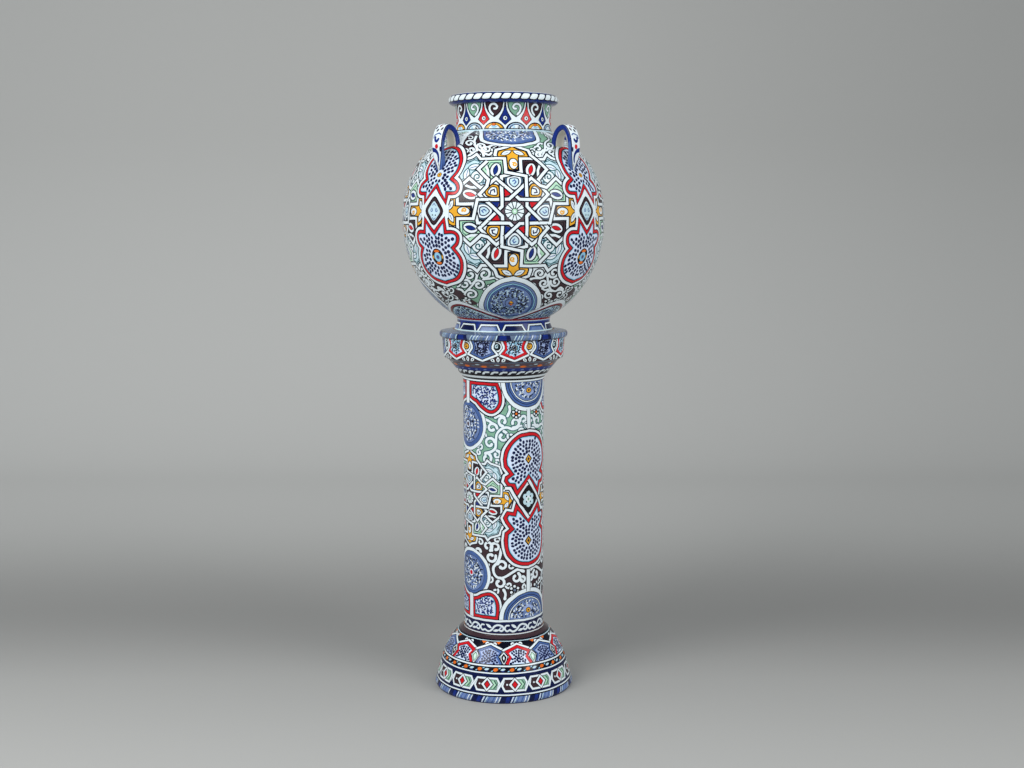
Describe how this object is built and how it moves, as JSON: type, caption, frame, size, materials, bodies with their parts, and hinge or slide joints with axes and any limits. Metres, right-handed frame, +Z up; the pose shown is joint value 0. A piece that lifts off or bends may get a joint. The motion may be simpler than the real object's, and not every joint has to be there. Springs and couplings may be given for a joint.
{
  "type": "vase on stand",
  "caption": "Globular hand-painted ceramic jar with strap handles and rolled lip, standing on a hollow column pedestal with a flared base and a drum capital.",
  "frame": {"origin": "centre of the pedestal base on the floor", "axes": "+Z up along the turning axis, +X to the right and -Y towards the viewer in the picture"},
  "size_m": [0.4884, 0.4884, 1.4497],
  "materials": {
    "base_paint": "glossy hand-painted tin glaze",
    "column_paint": "glossy hand-painted tin glaze",
    "cove_paint": "glossy hand-painted tin glaze",
    "drum_paint": "glossy hand-painted tin glaze",
    "plate_wash": "glossy hand-painted tin glaze",
    "foot_paint": "glossy hand-painted tin glaze",
    "jar_paint": "glossy hand-painted tin glaze",
    "neck_paint": "glossy hand-painted tin glaze",
    "lip_paint": "glossy hand-painted tin glaze",
    "handle_paint": "glossy hand-painted tin glaze"
  },
  "bodies": {
    "stand": {"base_bell": "base_paint", "column_shaft": "column_paint", "capital_cove": "cove_paint", "capital_drum": "drum_paint", "cap_plate": "plate_wash"},
    "vase": {"jar_foot_ring": "foot_paint", "jar_bowl": "jar_paint", "jar_dome": "jar_paint", "jar_neck": "neck_paint", "jar_lip": "lip_paint", "handle_front_left": "handle_paint", "handle_front_right": "handle_paint", "handle_back_right": "handle_paint", "handle_back_left": "handle_paint"}
  },
  "joints": [
    {"name": "vase_lift", "type": "slide", "parent": "stand", "child": "vase", "axis": [0, 0, 1], "range_m": [0, 0.15]}
  ]
}
